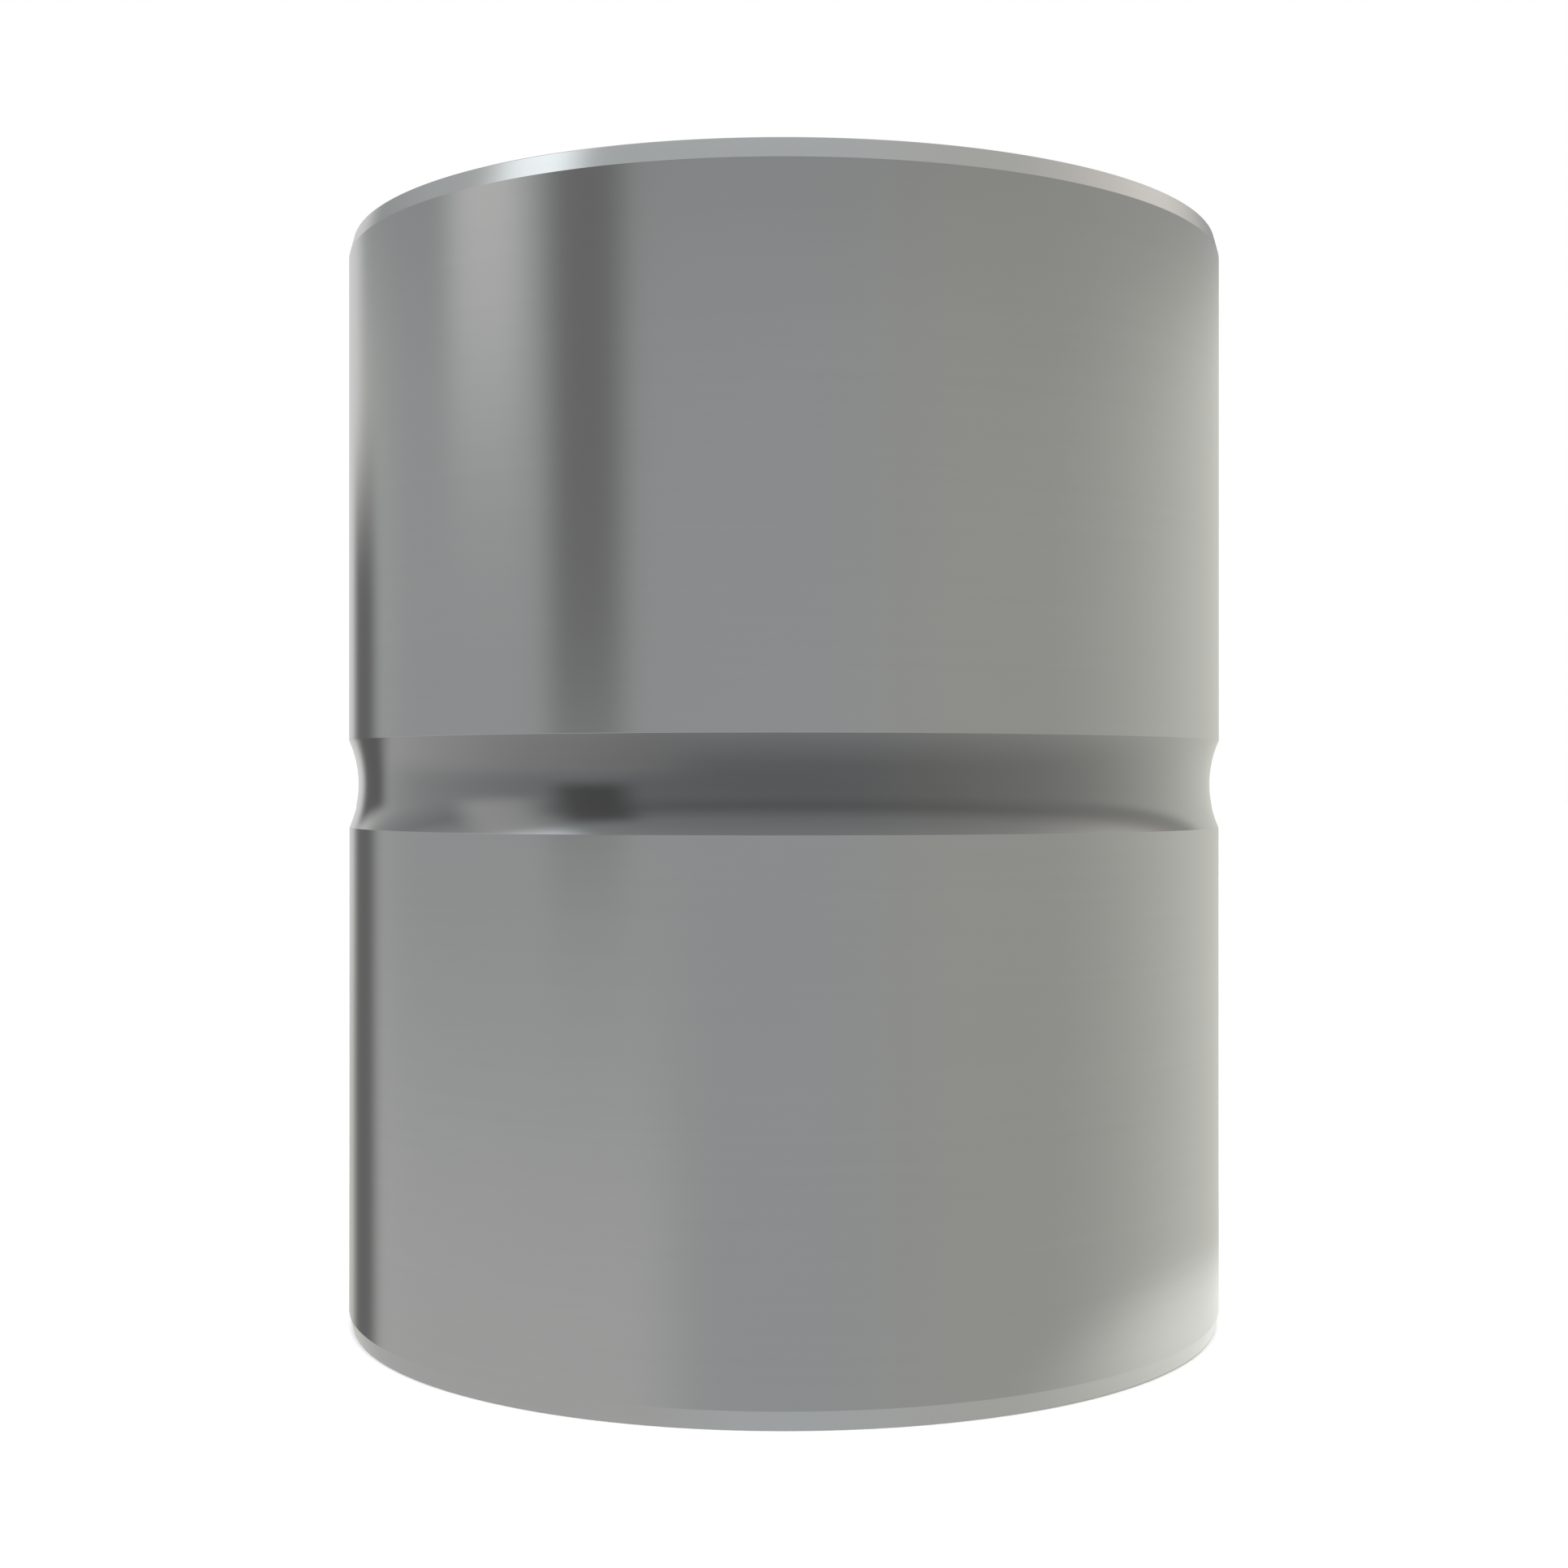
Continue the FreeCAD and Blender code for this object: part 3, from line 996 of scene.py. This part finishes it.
@dataclass(frozen=True)
class Card:
    """A soft-edged patch of light or shade in the room round the object.

    Attributes:
        bearing: Direction of its middle from the front, towards the right, in degrees.
        half_width: Half of its full part's width, in degrees.
        side_fade: Width over which each side fades out, in degrees.
        height: Height of its middle above the horizon, in degrees.
        half_height: Half of its full part's height, in degrees.
        end_fade: Height over which its top and bottom fade out, in degrees.
        colour: Its colour and brightness.
    """

    bearing: float
    half_width: float
    side_fade: float
    height: float
    half_height: float
    end_fade: float
    colour: Colour

    def hang(self, graph: Graph, room: bpy.types.NodeSocket, bearing: Value,
             height: Value) -> bpy.types.NodeSocket:
        """Hang the card in front of the room.

        Args:
            graph: The world's nodes.
            room: The colour of the room behind it.
            bearing: The bearing that is looked at, in degrees.
            height: The height that is looked at, in degrees.

        Returns:
            The colour of the room with the card.
        """
        across = graph.maths("WRAP", bearing - self.bearing, 180.0, -180.0)
        sides = abs(across).ease(self.half_width + self.side_fade, self.half_width)
        ends = abs(height - self.height).ease(self.half_height + self.end_fade, self.half_height)
        return graph.mix(sides * ends, room, self.colour)


@dataclass
class Studio:
    """A plain room with soft cards, a pale floor and the camera.

    Attributes:
        radius: Radius of the object, in metres.
        floor_height: Height of the floor, in metres.
        camera_distance: Distance of the camera from the object's axis, in its radii.
        lens: The camera's focal length, in millimetres.
        sensor: The width of the camera's sensor, in millimetres.
        floor_size: Side of the square floor, in metres.
        floor_tones: The floor's darkest and palest colours.
        floor_grain: Number of the floor's slow patches in a metre.
        cool_tint: Tint of the room's left side.
        warm_tint: Tint of the room's right side.
        tint_span: How far to the right the tint starts to turn, and ends, from -1 to 1.
        lamp_strength: The lamp's strength, in watts to a square metre.
        lamp_spread: The lamp's width in the sky, in radians.
        lamp_tilt: How far it leans from overhead towards the camera, in radians.
        glow_place: Middle of the floor's bright patch, right and behind, in radii.
        glow_lift: Its height above the floor, in metres.
        glow_core: Radius to which it is full, in metres.
        glow_reach: Radius at which it has faded out, in metres.
        glow_colour: Its colour and brightness.
    """

    radius: float
    floor_height: float
    camera_distance: float = 5.1074
    lens: float = 50.0
    sensor: float = 36.0
    floor_size: float = 6.0
    floor_tones: tuple[Colour, Colour] = ((0.90, 0.90, 0.90), (0.92, 0.92, 0.92))
    floor_grain: float = 12.0
    cool_tint: Colour = (0.95, 0.99, 1.0)
    warm_tint: Colour = (1.0, 1.0, 0.95)
    tint_span: tuple[float, float] = (0.15, 0.75)
    lamp_strength: float = 3.6
    lamp_spread: float = math.radians(70.0)
    lamp_tilt: float = math.radians(24.0)
    glow_place: tuple[float, float] = (0.9, -0.1)
    glow_lift: float = 0.0001
    glow_core: float = 0.005
    glow_reach: float = 0.025
    glow_colour: Colour = (1.00, 1.00, 0.95)

    def room(self) -> list[tuple[float, Colour]]:
        """Return the room's brightness from straight down to straight up."""
        levels = [(-90, 0.55), (-45, 0.60), (-15, 0.45), (10, 0.45), (20, 0.35), (30, 0.55),
                  (60, 0.70), (90, 0.95)]
        return [((height + 90) / 180, (level, level, level)) for height, level in levels]

    def cards(self) -> list[Card]:
        """Return the cards of light and shade, from the back one to the front one."""
        low_right = Card(160, 20, 75, -20, 30, 5, (0.70, 0.70, 0.65))
        high_right = Card(140, 10, 70, 40, 10, 15, (1.00, 0.95, 0.90))
        low_left = Card(-85, 45, 25, -40, 25, 15, (0.55, 0.55, 0.55))
        strip_left = Card(-80, 5, 15, 25, 10, 10, (0.70, 0.70, 0.70))
        key_left = Card(-75, 5, 15, 50, 10, 10, (1.50, 1.60, 1.65))
        strip_behind = Card(-155, 5, 15, 10, 10, 10, (0.75, 0.75, 0.75))
        flag_left = Card(-50, 5, 10, 15, 10, 10, (0.20, 0.20, 0.20))
        flag_behind = Card(-140, 5, 10, -5, 10, 5, (0.15, 0.15, 0.15))
        return [low_right, high_right, low_left, strip_left, key_left, strip_behind,
                flag_left, flag_behind]

    def light_room(self) -> None:
        """Give the world its soft room, plain white where the camera looks past the object."""
        world = bpy.data.worlds.new("soft_room")
        bpy.context.scene.world = world
        world.use_nodes = True
        graph = Graph(world.node_tree)
        direction = graph.add("ShaderNodeTexCoord").outputs["Generated"]
        x, y, z = graph.split(direction)
        degree = 180.0 / math.pi
        bearing = graph.maths("ARCTAN2", x, -y) * degree
        height = graph.maths("ARCSINE", z) * degree
        ramp = graph.add("ShaderNodeValToRGB", {"stops": self.room()},
                         {"Fac": height * (1 / 180) + 0.5})
        tint = graph.mix(x.ease(*self.tint_span), self.cool_tint, self.warm_tint)
        room = graph.add("ShaderNodeVectorMath", {"operation": "MULTIPLY"},
                         {0: ramp.outputs["Color"], 1: tint}).outputs[0]
        for card in self.cards():
            room = card.hang(graph, room, bearing, height)
        seen = graph.add("ShaderNodeLightPath").outputs["Is Camera Ray"]
        room = graph.mix(Value(graph, seen), room, (1.0, 1.0, 1.0))
        background = graph.add("ShaderNodeBackground", sockets={"Color": room, "Strength": 1.0})
        graph.add("ShaderNodeOutputWorld", sockets={"Surface": background.outputs[0]})

    def hang_lamp(self) -> None:
        """Hang a very soft lamp over the front, for the floor."""
        lamp = bpy.data.lights.new("soft_lamp", "SUN")
        lamp.energy = self.lamp_strength
        lamp.angle = self.lamp_spread
        holder = bpy.data.objects.new("soft_lamp", lamp)
        holder.rotation_euler = (self.lamp_tilt, 0.0, 0.0)
        holder.visible_glossy = False
        bpy.context.scene.collection.objects.link(holder)

    def lay_sheet(self, name: str, half: float, place: Vector,
                  material: bpy.types.Material) -> bpy.types.Object:
        """Lay a level square in the scene, for the studio.

        Args:
            name: Its name.
            half: Half of its side, in metres.
            place: Its middle, in metres.
            material: Its material.

        Returns:
            The square, in the scene.
        """
        mesh = bpy.data.meshes.new(name)
        corners = [(x * half, y * half, place.z) for x, y in UNIT_SQUARE]
        mesh.from_pydata(corners, [], [tuple(range(len(corners)))])
        mesh.materials.append(material)
        sheet = bpy.data.objects.new(name, mesh)
        sheet.location = (place.x, place.y, 0.0)
        bpy.context.scene.collection.objects.link(sheet)
        return sheet

    def lay_floor(self) -> None:
        """Lay the pale floor that the object stands on."""
        material = bpy.data.materials.new("pale_floor")
        material.use_nodes = True
        graph = Graph(material.node_tree)
        place = graph.add("ShaderNodeTexCoord").outputs["Object"]
        grain = graph.add("ShaderNodeVectorMath", {"operation": "SCALE"},
                          {0: place, "Scale": self.floor_grain}).outputs[0]
        surface = graph.add("ShaderNodeBsdfPrincipled", sockets={
            "Base Color": graph.mix(graph.noise(grain) + 0.5, *self.floor_tones),
            "Roughness": 0.85, "Specular IOR Level": 0.1})
        graph.add("ShaderNodeOutputMaterial", sockets={"Surface": surface.outputs[0]})
        place = Vector((0.0, 0.0, self.floor_height))
        floor = self.lay_sheet("floor", self.floor_size / 2, place, material)
        floor.visible_glossy = False

    def lay_glow(self) -> None:
        """Lay a soft bright patch on the floor by the object, which only its steel shows."""
        material = bpy.data.materials.new("floor_glow")
        material.use_nodes = True
        graph = Graph(material.node_tree)
        x, y, _ = graph.split(graph.add("ShaderNodeTexCoord").outputs["Object"])
        share = (x * x + y * y).root().ease(self.glow_reach, self.glow_core)
        clear = graph.add("ShaderNodeBsdfTransparent")
        light = graph.add("ShaderNodeEmission", sockets={"Color": (*self.glow_colour, 1.0)})
        surface = graph.add("ShaderNodeMixShader",
                            sockets={0: share, 1: clear.outputs[0], 2: light.outputs[0]})
        graph.add("ShaderNodeOutputMaterial", sockets={"Surface": surface.outputs[0]})
        right, behind = self.glow_place
        place = Vector((right * self.radius, behind * self.radius,
                        self.floor_height + self.glow_lift))
        glow = self.lay_sheet("floor_glow", self.glow_reach, place, material)
        glow.visible_camera = False
        glow.visible_diffuse = False
        glow.visible_shadow = False

    def set_camera(self) -> None:
        """Stand the camera level with the middle of the object, in front of it."""
        camera = bpy.data.cameras.new("camera")
        camera.lens = self.lens
        camera.sensor_width = self.sensor
        camera.clip_start = 0.001
        stand = bpy.data.objects.new("camera", camera)
        stand.location = (0.0, -self.camera_distance * self.radius, 0.0)
        stand.rotation_euler = (math.pi / 2, 0.0, 0.0)
        bpy.context.scene.collection.objects.link(stand)
        bpy.context.scene.camera = stand

    def build(self) -> None:
        """Set up the room, the lamp, the floor, its bright patch and the camera."""
        bpy.context.scene.view_settings.view_transform = "Standard"
        self.light_room()
        self.hang_lamp()
        self.lay_floor()
        self.lay_glow()
        self.set_camera()


# Putting it together --------------------------------------------------------------------------


@dataclass(frozen=True)
class ScrewRow:
    """A row of two set screws and what its place in the sleeve asks for.

    Attributes:
        prefix: First part of its CAD nodes' names.
        axis: Number of the axis that the screws point out along.
        turn: The rotation that takes +Z to that axis.
        thread_start: Distance from the sleeve's axis at which the cut thread has to start.
        socket_depth: Depth of the screws' sockets, in millimetres.
    """

    prefix: str
    axis: int
    turn: Matrix
    thread_start: float
    socket_depth: float

    def screws(self, thread: Thread) -> list[SetScrew]:
        """Return the row's screws, placed where the CAD nodes are."""
        screws = []
        for end in ("upper", "lower"):
            node = f"{self.prefix}_{end}"
            low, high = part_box(node)
            screws.append(SetScrew(node, self.turn, (low[2] + high[2]) / 2 / MM,
                                   low[self.axis] / MM, high[self.axis] / MM,
                                   self.socket_depth, thread))
        return screws


SCREW_ROWS = (
    ScrewRow("key_screw", 1, Matrix.Rotation(-math.pi / 2, 4, "X"),
             thread_start=14.4, socket_depth=3.0),
    ScrewRow("side_screw", 0, Matrix.Rotation(math.pi / 2, 4, "Y"),
             thread_start=10.4, socket_depth=5.0),
)


def place_piece(piece: bpy.types.Object, node: str) -> None:
    """Put a piece in place of its CAD node, on the same body, and report it."""
    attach(piece, node)
    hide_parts(node)
    log.info("%s: %d faces, for node %s", piece.name, len(piece.data.polygons), node)


def main() -> None:
    """Build the studio, the sleeve and the set screws."""
    logging.basicConfig(level=logging.INFO, format="%(message)s")
    thread = Thread()
    rows = [row.screws(thread) for row in SCREW_ROWS]
    low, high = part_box("sleeve")
    holes = tuple(HoleRow(row.turn, row.thread_start, tuple(screw.height for screw in screws))
                  for row, screws in zip(SCREW_ROWS, rows))
    sleeve = Sleeve(high[0] / MM, high[2] / MM, holes, thread)

    Studio(sleeve.radius * MM, low[2]).build()
    place_piece(sleeve.build(), "sleeve")
    for screws in rows:
        for screw in screws:
            place_piece(screw.build(), screw.node)


if __name__ == "__main__":
    main()
